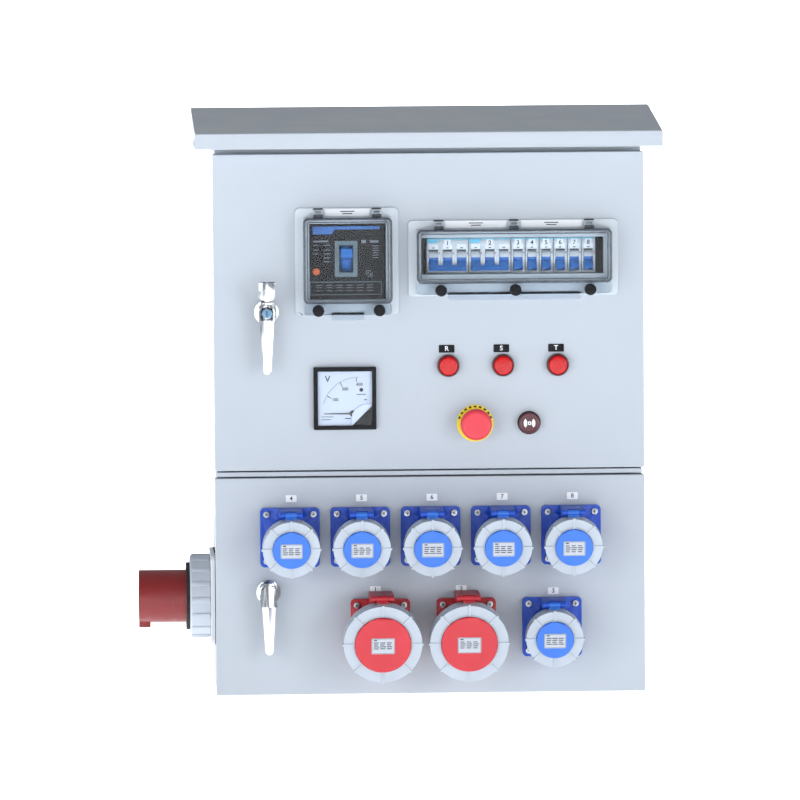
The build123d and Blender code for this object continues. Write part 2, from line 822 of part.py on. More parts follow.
def make_inlet():
    collar = 40
    with BuildPart() as flange:
        with BuildSketch(across(inlet_wall - 7)):
            with Locations((inlet_y, inlet_z)):
                RectangleRounded(inlet_flange_size, inlet_flange_size, 8)
        extrude(amount=7)
        inlet_disc(collar, -300, inlet_wall - 7)
        inlet_disc(inlet_sleeve_radius + 0.1, -301, inlet_wall, mode=Mode.SUBTRACT)
        with BuildSketch(across(inlet_wall)):
            with Locations((inlet_y, inlet_z)):
                with GridLocations(98, 98, 2, 2):
                    Circle(2.7)
        extrude(amount=-7, mode=Mode.SUBTRACT)
    save(flange.part, "inlet_flange")

    with BuildPart() as sleeve:
        inlet_disc(inlet_sleeve_radius, inlet_tip, -236, inlet_sleeve_radius - 3)
        inlet_disc(inlet_sleeve_radius, -286, -276)
        inlet_disc(43, -310.5, -306.8, inlet_sleeve_radius - 1)
        block((inlet_tip, inlet_tip + 15), (inlet_y - 4, inlet_y + 4),
              (inlet_z - inlet_sleeve_radius - 6, inlet_z - inlet_sleeve_radius + 1))
    save(sleeve.part, "inlet_sleeve")

    with BuildPart() as pins:
        with BuildSketch(across(-338)):
            with Locations((inlet_y, inlet_z)):
                with PolarLocations(19, 5, start_angle=90):
                    Circle(4)
        extrude(amount=52)
        fillet(pins.faces().group_by(Axis.X)[0].edges(), 1.5)
    save(pins.part, "inlet_pins")

    with BuildPart() as ring:
        inlet_disc(inlet_ring_radius, -306.4, -280.4, collar + running_gap)
        rim = ring.faces().sort_by(Axis.X)[0].edges().sort_by(SortBy.LENGTH)[-1]
        chamfer(rim, 2)
        with BuildSketch(across(-304)):
            with Locations((inlet_y, inlet_z)):
                with PolarLocations(inlet_ring_radius, 16):
                    Rectangle(3, 5)
        extrude(amount=23)
    save(ring.part, "inlet_ring")


os.makedirs("parts", exist_ok=True)

make_shell()
make_hood()
make_hinge_brackets()
make_mounting_plate()
make_din_rail()
make_terminal_bars()
make_mccb()
make_mcbs()
make_inlet()

make_upper_door()
make_seal(upper_opening, "upper_door_seal")
make_window(mccb_base, mccb_lid, mccb_opening, mccb_clips, mccb_screws, 496.5, (-124, -82), "mccb")
make_window(mcb_base, mcb_lid, mcb_opening, mcb_clips, mcb_screws, 521.5, (23, 193), "mcb")
make_meter()
make_signal_units()
make_estop()
make_lock(upper_lock_z, "upper")
make_flap(upper_lock_z, upper_flap_open, "upper_lock_flap")

make_lower_door()
make_seal(lower_opening, "lower_door_seal")
make_lock(lower_lock_z, "lower")
make_flap(lower_lock_z, 0, "lower_lock_flap")
make_housings(blue_sockets, blue, "blue_socket_housings")
make_housings(red_sockets, red, "red_socket_housings")
make_inserts()
make_screws()
for sockets, size in ((red_sockets, red), (blue_sockets, blue)):
    for number, centre in sockets.items():
        make_lid(size, centre, f"socket_lid_{number}")
        make_ring(size, centre, f"socket_ring_{number}")
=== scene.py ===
"""Looks of a portable power distribution box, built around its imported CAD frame.

Shapes are written in millimetres in the CAD frame and scaled to metres once, in make_piece().
Places come from the boxes of the CAD nodes; the details on a piece are offsets from those.
"""

from math import cos, pi, radians, sin

import bmesh
import bpy
from mathutils import Matrix, Vector


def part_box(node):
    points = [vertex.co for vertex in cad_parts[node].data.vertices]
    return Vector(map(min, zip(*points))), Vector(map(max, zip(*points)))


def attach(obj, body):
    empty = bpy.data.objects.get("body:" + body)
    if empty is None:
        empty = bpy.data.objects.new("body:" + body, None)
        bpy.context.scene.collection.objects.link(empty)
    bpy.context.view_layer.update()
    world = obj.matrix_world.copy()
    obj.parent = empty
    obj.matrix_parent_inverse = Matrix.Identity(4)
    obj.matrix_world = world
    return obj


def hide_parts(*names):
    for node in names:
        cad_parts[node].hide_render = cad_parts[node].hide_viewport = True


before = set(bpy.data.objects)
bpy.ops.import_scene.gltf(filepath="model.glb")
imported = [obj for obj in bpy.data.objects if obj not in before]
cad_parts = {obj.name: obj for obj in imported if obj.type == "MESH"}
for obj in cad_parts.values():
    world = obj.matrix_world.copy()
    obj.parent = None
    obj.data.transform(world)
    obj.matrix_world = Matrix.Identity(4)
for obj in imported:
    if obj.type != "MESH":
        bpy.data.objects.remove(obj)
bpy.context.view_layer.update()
scene = bpy.context.scene

MM = 0.001


# ---------------------------------------------------------------- places, from the CAD frame


def low(node):
    """The node's lowest corner, in millimetres."""
    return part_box(node)[0] / MM


def high(node):
    """The node's highest corner, in millimetres."""
    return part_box(node)[1] / MM


def middle(node):
    return (low(node) + high(node)) / 2


def facing(origin, outward):
    """A frame at a point, with Z outward, X to the viewer's right and Y upward."""
    z = Vector(outward).normalized()
    x = Vector((0, 0, 1)).cross(z).normalized()
    turned = Matrix((x, z.cross(x), z)).transposed().to_4x4()
    return Matrix.Translation(Vector(origin)) @ turned


def front(x, z, y):
    """A frame on a plane that faces the front."""
    return facing((x, y, z), (0, -1, 0))


DOOR = low("upper_door").y
TILT = radians(10)  # the sockets' axes point this far down
# Sockets: the tube's radius, its mouth's distance from the door, the cap's depth beyond the mouth,
# the disc's radius, and the rating plate's width and height.
BLUE = dict(tube=30, mouth=46, rim=11.7, disc=24, label=(28, 19))
RED = dict(tube=42, mouth=58, rim=14.7, disc=36, label=(29.6, 20.6))
SOCKETS = {number: RED if number < 3 else BLUE for number in range(1, 9)}
SKIRT = 2.5  # how far a lid's skirt stands out from the socket's tube
LONG = 60  # CAD edges shorter than this stay sharp
SHARP = 32  # degrees between faces from which an edge counts as sharp
MOST = (0.3, 0.7)  # the span that most of a noise texture falls in


def socket_frame(number, s):
    """The frame across a socket's axis, s in front of the door, found from its closed lid."""
    size = SOCKETS[number]
    lid = f"socket_lid_{number}"
    reach = size["mouth"] + size["rim"]
    radius = size["tube"] + SKIRT
    z = low(lid).z + reach * sin(TILT) + radius * cos(TILT)
    outward = Vector((0, -cos(TILT), -sin(TILT)))
    return facing(Vector((middle(lid).x, DOOR, z)) + s * outward, outward)


# ---------------------------------------------------------------- shapes


def rounded(path, radius, closed=True, steps=4):
    """A path of (a, b) points with each corner turned into an arc.

    A point may carry its own radius as a third value."""
    points = [Vector(p[:2]) for p in path]
    count = len(points)
    result = []
    for i, point in enumerate(points):
        wanted = path[i][2] if len(path[i]) > 2 else radius
        ends = (i == 0 or i == count - 1) and not closed
        if ends or wanted <= 0:
            result.append(point)
            continue
        back = points[i - 1] - point
        ahead = points[(i + 1) % count] - point
        cut = min(wanted, back.length * 0.49, ahead.length * 0.49)
        start, end = point + back.normalized() * cut, point + ahead.normalized() * cut
        for k in range(steps + 1):
            t = k / steps
            result.append((1 - t) ** 2 * start + 2 * t * (1 - t) * point + t * t * end)
    return result


def skin(bm, loops, closed_loops=True, ring=False):
    """Faces between loops of vertices; a loop of one vertex is a pole."""
    pairs = list(zip(loops, loops[1:]))
    if ring:
        pairs.append((loops[-1], loops[0]))
    for a, b in pairs:
        count = max(len(a), len(b))
        for i in range(count if closed_loops else count - 1):
            j = (i + 1) % count
            corners = []
            for vertex in (a[i % len(a)], a[j % len(a)], b[j % len(b)], b[i % len(b)]):
                if vertex not in corners:
                    corners.append(vertex)
            if len(corners) > 2:
                bm.faces.new(corners)
    if not ring:
        for loop in (loops[0], loops[-1]):
            if len(loop) > 2:
                bm.faces.new(loop)


def turn(bm, path, at, radius=0.0, ring=False, steps=72, arc=(0, 2 * pi)):
    """A path of (radius, height) points turned about the frame's Z axis."""
    whole = arc[1] - arc[0] > 2 * pi - 1e-6
    loops = []
    for r, h in rounded(path, radius, closed=ring, steps=3):
        if r < 1e-6:
            loops.append([bm.verts.new(at @ Vector((0, 0, h)))])
            continue
        angles = [arc[0] + (arc[1] - arc[0]) * i / steps for i in range(steps + (not whole))]
        loops.append([bm.verts.new(at @ Vector((r * cos(a), r * sin(a), h))) for a in angles])
    skin(bm, loops, closed_loops=whole, ring=ring)
    if ring and not whole:
        for end in (0, -1):
            bm.faces.new([loop[end] for loop in loops])


def loft(bm, size, corner, path, at, radius=0.0, ring=False, steps=5):
    """A rounded rectangle carried along a path of (inset, height) points."""
    loops = []
    for inset, h in rounded(path, radius, closed=ring, steps=3):
        a, b = size[0] / 2 - inset, size[1] / 2 - inset
        r = max(min(corner - inset, a, b), 0.05)
        loop = []
        for quarter, (sx, sy) in enumerate(((1, 1), (-1, 1), (-1, -1), (1, -1))):
            for k in range(steps + 1):
                angle = (quarter + k / steps) * pi / 2
                point = (sx * (a - r) + r * cos(angle), sy * (b - r) + r * sin(angle), h)
                loop.append(bm.verts.new(at @ Vector(point)))
        loops.append(loop)
    skin(bm, loops, ring=ring)


def slab(bm, outline, heights, at, edge=0.0):
    """A flat outline between two heights, with a chamfered front edge."""
    centre = sum((Vector(p) for p in outline), Vector((0, 0))) / len(outline)
    span = max((Vector(p) - centre).length for p in outline)
    levels = [(1, heights[0]), (1, heights[1] - edge)]
    if edge:
        levels += [(1 - 0.3 * edge / span, heights[1] - 0.3 * edge), (1 - edge / span, heights[1])]
    loops = []
    for share, h in levels:
        flat = [centre + (Vector(p) - centre) * share for p in outline]
        loops.append([bm.verts.new(at @ Vector((*p, h))) for p in flat])
    skin(bm, loops)


def bar(bm, x, y, heights, at, corner=0.4, edge=0.2):
    """A small plate with rounded corners, between the low and high value of each axis."""
    centre = at @ Matrix.Translation(((x[0] + x[1]) / 2, (y[0] + y[1]) / 2, 0))
    path = [(0, heights[0]), (0, heights[1] - edge), (edge, heights[1])]
    loft(bm, (x[1] - x[0], y[1] - y[0]), corner, path, centre, steps=3)


def write(bm, text, height, at, depth=0.12):
    """Plain raised figures, centred on the frame."""
    curve = bpy.data.curves.new("figure", "FONT")
    curve.body = text
    curve.size = height * 1.4
    curve.align_x = "CENTER"
    curve.align_y = "CENTER"
    curve.extrude = depth
    curve.offset = height * 0.025
    holder = bpy.data.objects.new("figure", curve)
    scene.collection.objects.link(holder)
    bpy.context.view_layer.update()
    flat = bpy.data.meshes.new_from_object(holder)
    flat.transform(at)
    bm.from_mesh(flat)
    bpy.data.objects.remove(holder)
    bpy.data.curves.remove(curve)
    bpy.data.meshes.remove(flat)


# ---------------------------------------------------------------- pieces


def finish_mesh(piece, bevel):
    """Smooth shading with sharp edges kept or broken, and flat faces shaded flat."""
    mesh = piece.data
    for polygon in mesh.polygons:
        polygon.use_smooth = True
    mesh.set_sharp_from_angle(angle=radians(SHARP))
    if bevel:
        edges = piece.modifiers.new("broken edges", "BEVEL")
        edges.width = bevel * MM
        edges.segments = 2
        edges.limit_method = "ANGLE"
        edges.angle_limit = radians(SHARP)
        edges.use_clamp_overlap = False
        edges.miter_outer = "MITER_ARC"
        edges.face_strength_mode = "FSTR_ALL"
    normals = piece.modifiers.new("flat faces", "WEIGHTED_NORMAL")
    normals.mode = "FACE_AREA"
    normals.weight = 80
    normals.keep_sharp = True
    normals.use_face_influence = bool(bevel)


def make_piece(name, bm, body, finish, replaced=(), bevel=0.0):
    """A new piece: its mesh, its finish, the body it rides on and the CAD nodes it stands for."""
    bmesh.ops.remove_doubles(bm, verts=bm.verts, dist=0.002)
    bmesh.ops.recalc_face_normals(bm, faces=bm.faces)
    mesh = bpy.data.meshes.new(name)
    bm.to_mesh(mesh)
    bm.free()
    mesh.transform(Matrix.Scale(MM, 4))
    mesh.materials.append(FINISHES[finish])
    piece = bpy.data.objects.new(name, mesh)
    scene.collection.objects.link(piece)
    finish_mesh(piece, bevel)
    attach(piece, body)
    if replaced:
        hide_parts(*replaced)
    return piece


def soften(node, body, finish, bevel, cuts=()):
    """A CAD piece in a mesh of its own, with its long sharp edges broken.

    Each cut is (floor, ceiling): what stands above the ceiling is taken off, from the floor up."""
    bm = bmesh.new()
    bm.from_mesh(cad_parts[node].data)
    bmesh.ops.scale(bm, vec=(1 / MM,) * 3, verts=bm.verts)
    bmesh.ops.remove_doubles(bm, verts=bm.verts, dist=0.01)
    for floor, ceiling in cuts:
        faces = [face for face in bm.faces if max(v.co.z for v in face.verts) > floor]
        if cuts[0][0] > floor:
            faces = [face for face in faces if max(v.co.z for v in face.verts) < cuts[0][0]]
        edges = {edge for face in faces for edge in face.edges}
        verts = {vert for face in faces for vert in face.verts}
        cut = bmesh.ops.bisect_plane(bm, geom=[*verts, *edges, *faces], plane_co=(0, 0, ceiling),
                                     plane_no=(0, 0, 1), clear_outer=True)
        rim = [e for e in cut["geom_cut"] if isinstance(e, bmesh.types.BMEdge) and e.is_boundary]
        bmesh.ops.holes_fill(bm, edges=rim)
    weight = bm.edges.layers.float.new("bevel_weight_edge")
    for edge in bm.edges:
        sharp = len(edge.link_faces) == 2 and edge.calc_face_angle(0) > radians(SHARP)
        edge[weight] = 1.0 if sharp and bevel and edge.calc_length() > LONG else 0.0
    piece = make_piece(f"{node}_finish", bm, body, finish, (node,), bevel)
    if bevel:
        piece.modifiers[0].limit_method = "WEIGHT"


# ---------------------------------------------------------------- finishes


def linear(red, green, blue):
    """A display colour of 0 to 255 a channel, as light."""
    parts = (red / 255, green / 255, blue / 255)
    light = [p / 12.92 if p <= 0.04045 else ((p + 0.055) / 1.055) ** 2.4 for p in parts]
    return (*light, 1)


def scaled(colour, share):
    return (*(min(1, part * share) for part in colour[:3]), 1)


class Finish:
    """A node material being put together, with textures in metres on the piece itself."""

    def __init__(self, name, **sockets):
        self.material = bpy.data.materials.new(name)
        self.material.use_nodes = True
        self.nodes = self.material.node_tree.nodes
        self.link = self.material.node_tree.links.new
        self.shader = self.nodes["Principled BSDF"]
        self.place = self.nodes.new("ShaderNodeTexCoord").outputs["Object"]
        for socket, value in sockets.items():
            self.shader.inputs[socket.replace("_", " ")].default_value = value

    def stretched(self, stretch):
        mapping = self.nodes.new("ShaderNodeMapping")
        mapping.inputs["Scale"].default_value = stretch
        self.link(self.place, mapping.inputs["Vector"])
        return mapping.outputs["Vector"]

    def noise(self, scale, detail=2.0, rough=0.5, stretch=None):
        node = self.nodes.new("ShaderNodeTexNoise")
        node.inputs["Scale"].default_value = scale
        node.inputs["Detail"].default_value = detail
        node.inputs["Roughness"].default_value = rough
        self.link(self.stretched(stretch) if stretch else self.place, node.inputs["Vector"])
        return node.outputs["Fac"]

    def cells(self, scale, output="Distance"):
        node = self.nodes.new("ShaderNodeTexVoronoi")
        node.inputs["Scale"].default_value = scale
        self.link(self.place, node.inputs["Vector"])
        return node.outputs[output]

    def spread(self, value, span, result):
        """The value's span carried over to another, and held at its ends."""
        node = self.nodes.new("ShaderNodeMapRange")
        node.inputs["From Min"].default_value, node.inputs["From Max"].default_value = span
        node.inputs["To Min"].default_value, node.inputs["To Max"].default_value = result
        self.link(value, node.inputs["Value"])
        return node.outputs["Result"]

    def mix(self, share, a, b):
        node = self.nodes.new("ShaderNodeMix")
        node.data_type = "RGBA"
        self.link(share, node.inputs["Factor"])
        for socket, colour in (("A", a), ("B", b)):
            entry = next(s for s in node.inputs if s.name == socket and s.type == "RGBA")
            if isinstance(colour, tuple):
                entry.default_value = colour
            else:
                self.link(colour, entry)
        return next(s for s in node.outputs if s.type == "RGBA")

    def bump(self, *heights):
        """Each height is (value, depth in millimetres, strength)."""
        normal = None
        for value, depth, strength in heights:
            node = self.nodes.new("ShaderNodeBump")
            node.inputs["Distance"].default_value = depth * MM
            node.inputs["Strength"].default_value = strength
            self.link(value, node.inputs["Height"])
            if normal:
                self.link(normal, node.inputs["Normal"])
            normal = node.outputs["Normal"]
        self.link(normal, self.shader.inputs["Normal"])

    def colour(self, value):
        self.link(value, self.shader.inputs["Base Color"])

    def roughness(self, value):
        self.link(value, self.shader.inputs["Roughness"])


def powder_coat(name, colour):
    """Baked textured paint: orange peel, cloudy gloss, and faint handling marks."""
    f = Finish(name, Coat_Weight=0.05, Coat_Roughness=0.3, Specular_IOR_Level=0.25)
    cloud = f.noise(5, 3, 0.55)
    tone = f.mix(f.spread(cloud, MOST, (0, 1)), scaled(colour, 0.975), scaled(colour, 1.02))
    rubbed = f.spread(f.noise(38, 6, 0.7, (1, 1, 0.25)), (0.66, 0.8), (0, 0.3))
    f.colour(f.mix(rubbed, tone, scaled(colour, 0.86)))
    f.roughness(f.spread(f.noise(14, 4, 0.6), MOST, (0.36, 0.52)))
    f.bump((f.noise(420, 2, 0.5), 0.12, 0.35), (f.noise(1500, 2, 0.6), 0.03, 0.4))
    return f.material


def moulded(name, colour, gloss=0.42, grain=0.3, wear=0.12, shine=0.5):
    """Injection-moulded plastic: fine spark grain, flow marks and fine pale scuffs."""
    f = Finish(name, Specular_IOR_Level=shine)
    flow = f.spread(f.noise(22, 3, 0.6, (1, 1, 0.4)), MOST, (0, 1))
    tone = f.mix(flow, scaled(colour, 0.94), scaled(colour, 1.05))
    pale = tuple(0.75 * part + 0.25 * 0.7 for part in colour[:3]) + (1,)
    scuffs = f.spread(f.noise(90, 8, 0.75, (1, 0.3, 1)), (0.62, 0.78), (0, wear))
    f.colour(f.mix(scuffs, tone, pale))
    f.roughness(f.spread(f.noise(60, 4, 0.6), MOST, (gloss - 0.06, gloss + 0.1)))
    f.bump((f.noise(2600, 3, 0.6), 0.03, grain), (f.noise(120, 2, 0.5), 0.05, 0.08))
    return f.material


def brushed(name, colour, rough, stretch, pitted=0.0):
    """Metal with drawn or rubbed lines along one way, and cloudy tarnish."""
    f = Finish(name, Metallic=1.0)
    tarnish = f.spread(f.noise(26, 5, 0.65), (0.35, 0.7), (0, 1))
    f.colour(f.mix(tarnish, scaled(colour, 1.04), scaled(colour, 0.8)))
    f.roughness(f.spread(f.noise(180, 3, 0.6, stretch), MOST, (rough * 0.75, rough * 1.35)))
    f.bump(
        (f.noise(900, 2, 0.6, stretch), 0.02, 0.3),
        (f.noise(140, 3, 0.6), 0.08, 0.1 + pitted),
    )
    return f.material


def polished(name, colour):
    """Chrome plate, with long dark and bright bands painted into its colour as reflections, and a
    cloudy, finger-marked sheen.
    """
    f = Finish(name, Metallic=1.0)
    # painted reflections: long dark and bright bands in the base colour stand for the studio
    # mirrored in the chrome
    painted_reflection_bands = f.spread(f.noise(95, 2, 0.45, (1, 1, 0.1)), (0.42, 0.56), (0, 1))
    tone = f.mix(painted_reflection_bands, scaled(colour, 0.13), scaled(colour, 1.05))
    marks = f.spread(f.noise(60, 5, 0.65), (0.5, 0.75), (0, 0.35))
    f.colour(f.mix(marks, tone, scaled(colour, 0.62)))
    f.roughness(f.spread(f.noise(180, 3, 0.6, (1, 1, 10)), MOST, (0.06, 0.16)))
    f.bump((f.noise(900, 2, 0.6, (1, 1, 10)), 0.02, 0.15), (f.noise(140, 3, 0.6), 0.08, 0.2))
    return f.material


def spangled(name, colour):
    """Galvanised sheet, with its crystals."""
    f = Finish(name, Metallic=1.0)
    crystal = f.cells(95, output="Color")
    f.colour(f.mix(crystal, scaled(colour, 0.8), scaled(colour, 1.15)))
    f.roughness(f.spread(f.noise(70, 3, 0.6), MOST, (0.3, 0.5)))
    f.bump((f.noise(240, 3, 0.6), 0.05, 0.2))
    return f.material


def rubber(name, colour):
    f = Finish(name, Specular_IOR_Level=0.35)
    dust = f.spread(f.noise(45, 5, 0.7), (0.5, 0.75), (0, 0.5))
    f.colour(f.mix(dust, colour, scaled(colour, 2.6)))
    f.roughness(f.spread(f.noise(120, 3, 0.6), MOST, (0.62, 0.85)))
    f.bump((f.noise(1200, 3, 0.6), 0.06, 0.4))
    return f.material


def printed(name, colour, gloss=0.5):
    """Ink or a label: nearly even, with a paper-fine mottle."""
    f = Finish(name)
    f.colour(f.mix(f.noise(300, 4, 0.7), scaled(colour, 0.94), scaled(colour, 1.05)))
    f.roughness(f.spread(f.noise(90, 3, 0.6), MOST, (gloss - 0.08, gloss + 0.1)))
    f.bump((f.noise(1800, 2, 0.5), 0.01, 0.2))
    return f.material


def clear(name, tint, rough, haze):
    """Thin clear plastic that lets the lamps through, hazed by fine rubbing."""
    f = Finish(name, Transmission_Weight=1.0, IOR=1.2, Specular_IOR_Level=0.3)
    f.colour(f.mix(f.noise(30, 4, 0.6), scaled(tint, 0.97), tint))
    rubbed = f.spread(f.noise(160, 8, 0.8, (1, 1, 0.3)), (0.55, 0.8), (rough, rough + haze))
    f.roughness(rubbed)
    f.bump((f.noise(40, 2, 0.5), 0.08, 0.12))
    lamp_light = f.nodes.new("ShaderNodeBsdfTransparent")
    lamp_light.inputs["Color"].default_value = scaled(tint, 0.92)
    choice = f.nodes.new("ShaderNodeMixShader")
    f.link(f.nodes.new("ShaderNodeLightPath").outputs["Is Shadow Ray"], choice.inputs[0])
    f.link(f.shader.outputs[0], choice.inputs[1])
    f.link(lamp_light.outputs[0], choice.inputs[2])
    f.link(choice.outputs[0], f.nodes["Material Output"].inputs["Surface"])
    return f.material


def lens(name, colour):
    """A deep coloured lamp lens, with its moulded facets under a clear skin."""
    f = Finish(name, Coat_Weight=0.2, Coat_Roughness=0.08, Specular_IOR_Level=0.25)
    facets = f.spread(f.cells(420), (0.1, 0.6), (0, 1))
    f.colour(f.mix(facets, colour, scaled(colour, 0.62)))
    f.roughness(f.spread(f.noise(60, 3, 0.6), MOST, (0.14, 0.26)))
    f.bump((f.cells(420), 0.25, 0.35))
    return f.material


FINISHES = {
    "paint": powder_coat("body_powder_coat", linear(169, 177, 187)),
    "zinc": spangled("galvanised_sheet", linear(178, 182, 186)),
    "chrome": polished("polished_chrome", linear(208, 212, 218)),
    "copper": brushed("terminal_copper", linear(203, 138, 92), 0.3, (18, 1, 1)),
    "blue": moulded("blue_socket_plastic", linear(10, 68, 178), 0.46),
    "blue_cap": moulded("blue_cap_plastic", linear(38, 102, 200), 0.42, 0.2),
    "red": moulded("red_socket_plastic", linear(170, 28, 40), 0.46),
    "red_cap": moulded("red_cap_plastic", linear(180, 30, 44), 0.42, 0.2),
    "inlet_red": moulded("inlet_plastic", linear(118, 16, 19)),
    "grey": moulded("grey_ring_plastic", linear(164, 174, 186), 0.44, 0.3),
    "white": moulded("pale_plastic", linear(214, 220, 228), 0.4, 0.25),
    "black": moulded("black_plastic", linear(13, 15, 20), 0.5, 0.15, 0.015, 0.18),
    "breaker": moulded("breaker_plastic", linear(196, 204, 212), 0.42, 0.3),
    "toggle": moulded("toggle_plastic", linear(24, 104, 186), 0.34, 0.2),
    "window_grey": moulded("window_frame_plastic", linear(184, 194, 203), 0.42, 0.3),
    "clear": clear("window_clear_plastic", (0.86, 0.9, 0.93, 1), 0.0, 0.01),
    "glass": clear("meter_glass", (0.97, 0.98, 0.98, 1), 0.0, 0.02),
    "rubber": rubber("seal_rubber", (0.016, 0.016, 0.017, 1)),
    "needle": printed("needle_black", linear(20, 20, 24), 0.4),
    "lamp": lens("lamp_lens", linear(208, 12, 18)),
    "estop": moulded("estop_plastic", linear(200, 48, 64), 0.4, 0.12, 0.05),
    "yellow": printed("estop_legend", linear(232, 206, 30), 0.42),
    "maroon": moulded("buzzer_plastic", linear(72, 26, 34), 0.3, 0.2, 0.06),
    # dark print, also used for the painted shade of the keyways and the screw recesses
    "ink": printed("dark_print_and_painted_shade", linear(24, 26, 32)),
    "paper": printed("label_paper", linear(226, 230, 236), 0.55),
    "sky": printed("header_print", linear(52, 110, 184)),
    "orange": moulded("test_button_plastic", linear(226, 96, 30), 0.36, 0.2),
    "olive": moulded("toggle_bezel_plastic", linear(92, 112, 122), 0.4, 0.3),
    # painted shade: this dark colour stands for the dome's clear wall, which looks dark seen
    # edge-on
    "painted_rim_shade": moulded("dome_rim_painted_shade", linear(62, 69, 80), 0.24, 0.1, 0.05),
    "frost": clear("window_lip_plastic", (0.8, 0.84, 0.88, 1), 0.28, 0.2),
    "steel_grey": printed("pale_grey_print", linear(112, 118, 128), 0.5),
    "cyan": printed("cyan_print", linear(96, 190, 220), 0.5),
    "dial": printed("dial_card", linear(184, 197, 220), 0.6),
    "plate": printed("rating_plate", linear(170, 177, 188), 0.5),
    "inlet_grey": moulded("inlet_ring_plastic", linear(184, 192, 204), 0.44, 0.3),
    "keyface": brushed("key_cylinder_face", linear(96, 128, 152), 0.3, (1, 1, 10), 0.1),
}

# ---------------------------------------------------------------- windows in the upper door

ROOT, UPPER, LOWER = "root", "upper_door", "lower_door"
LIP = 15  # height of the strip below a window's dome, which holds its thumb screws
SEAT = 10.3  # the back of a window lid, in front of the door
CLIP = 6.3  # half the width of a clip
# places across each window, from the middle of its frame
WINDOWS = {
    "mccb": dict(clips=(-36.5, 38), screws=(-37.5, 40.5), strips=((-28, 30),), tab=21),
    "mcb": dict(clips=(-95.2, 0.8, 97.1), screws=(-93.5, 1.5, 97),
                strips=((-87, -8), (9.5, 88.5)), tab=85),
}


def make_window(kind, clips, screws, strips, tab):
    """A clear hinged dome with a dark rim painted in as the shade of its clear wall seen edge-on,
    its lip with thumb screws, clips and label strips.
    """
    body = f"{kind}_window_lid"
    x0, x1 = low(body).x, high(body).x
    z0, z1 = low(body).z + 7, high(body).z - 8
    width, height = x1 - x0, z1 - z0 - LIP
    at = front((x0 + x1) / 2, z0 + LIP + height / 2, DOOR)
    across = middle(f"{kind}_window_frame").x
    door = front(0, 0, DOOR)
    clips = [across + x for x in clips]
    strips = [(across + a, across + b) for a, b in strips]

    bm = bmesh.new()
    dome = [(2.5, 22.5), (2.5, SEAT), (0, SEAT), (0.6, 25, 3)]
    loft(bm, (width, height), 6, dome, at)
    make_piece(f"{kind}_dome", bm, body, "clear", (body,))

    bm = bmesh.new()
    # The dark rim and its inner line are painted shade for the clear wall's edge; the clips are
    # built into the same dark piece.
    rim = [(-0.3, 10.4), (-0.3, 24.4), (0.9, 25.8), (2.2, 25.8)]
    rim += [(2.2, 24.4), (0.4, 23.6), (0.4, 10.4)]
    loft(bm, (width, height), 6, rim, at, ring=True)
    inner = [(4.4, 20.8), (4.4, 22.4), (5.7, 22.4), (5.7, 20.8)]
    loft(bm, (width, height), 7, inner, at, ring=True)
    for x in clips:
        spot = front(x, z1, DOOR)
        bar(bm, (-CLIP, CLIP), (-3, 4.5), (10.7, 12.2), spot, 1, 0.4)
        for level in (-1.4, 0.8, 3):
            bar(bm, (-5.2, 5.2), (level - 0.4, level + 0.4), (12.1, 12.7), spot)
    make_piece(f"{kind}_dome_rim", bm, body, "painted_rim_shade", bevel=0.15)

    bm = bmesh.new()
    half = height / 2
    bar(bm, (-width / 2, width / 2), (-half - LIP, -half - 0.4), (SEAT, 15), at, 5, 1)
    bar(bm, (-tab, tab), (-half - LIP - 7, -half - LIP + 3), (SEAT, 13.2), at, 2, 0.6)
    for x in clips:
        pin = facing((x, DOOR - 7, z1 + 4.7), (1, 0, 0))
        turn(bm, [(1.3, -3.3), (3.3, -3.3), (3.3, 3.3), (1.3, 3.3)], pin, 0.3, True, 32)
        bar(bm, (-3.2, 3.2), (-1.5, 3.4), (8, 10.8), front(x, z1, DOOR))
    make_piece(f"{kind}_dome_lip", bm, body, "frost", bevel=0.2)

    bm = bmesh.new()
    for x in screws:
        spot = front(across + x, z0 + 6.2, DOOR)
        knob = [(0, 11), (4.5, 11), (4.5, 21), (7.2, 21), (7.2, 32), (0, 32.6)]
        turn(bm, knob, spot, 0.8, steps=40)
        for k in range(14):
            turned = spot @ Matrix.Rotation(2 * pi * k / 14, 4, "Z")
            bar(bm, (6.8, 7.5), (-0.7, 0.7), (22.2, 31), turned, 0.3)
        bar(bm, (-4.6, 4.6), (-0.7, 0.7), (32.3, 32.9), spot)
    make_piece(f"{kind}_thumb_screws", bm, body, "black", bevel=0.12)

    bm = bmesh.new()
    for a, b in strips:
        bar(bm, (a, b), (z1 + 1.8, z1 + 10.8), (3, 3.8), door, 1.2, 0.3)
    make_piece(f"{kind}_label_strips", bm, UPPER, "paper")

    bm = bmesh.new()
    for a, b in strips:
        centre = (a + b) / 2
        for level, reach in ((7.8, 9), (5, 6.5)):
            bar(bm, (centre - reach, centre + reach), (z1 + level - 0.6, z1 + level + 0.6),
                (3.7, 3.95), door, 0.3, 0.05)
    for x in clips:
        bar(bm, (x - CLIP, x + CLIP), (z1 + 10, z1 + 12), (3, 4.6), door, 0.8, 0.3)
    make_piece(f"{kind}_strip_print", bm, UPPER, "ink")


for kind, layout in WINDOWS.items():
    make_window(kind, **layout)


# ---------------------------------------------------------------- breakers

MAIN = middle("mccb_body")
NOSE = low("mccb_body").y
MODULES = low("mcb_bodies").y
MCB_LEFT, MCB_RIGHT = low("mcb_bodies").x, high("mcb_bodies").x
MCB_Z = middle("mcb_bodies").z
POLE = 18  # width of one breaker module
POLES = (3, 3, 1, 1, 1, 1, 1, 1)  # modules joined in each breaker, from the left


def plates(bm, at, rows, thick, corner=0.3):
    """Small printed plates; each row is (left, right, low, high)."""
    for a, b, c, d in rows:
        bar(bm, (a, b), (c, d), (0, thick), at, corner, 0.03)


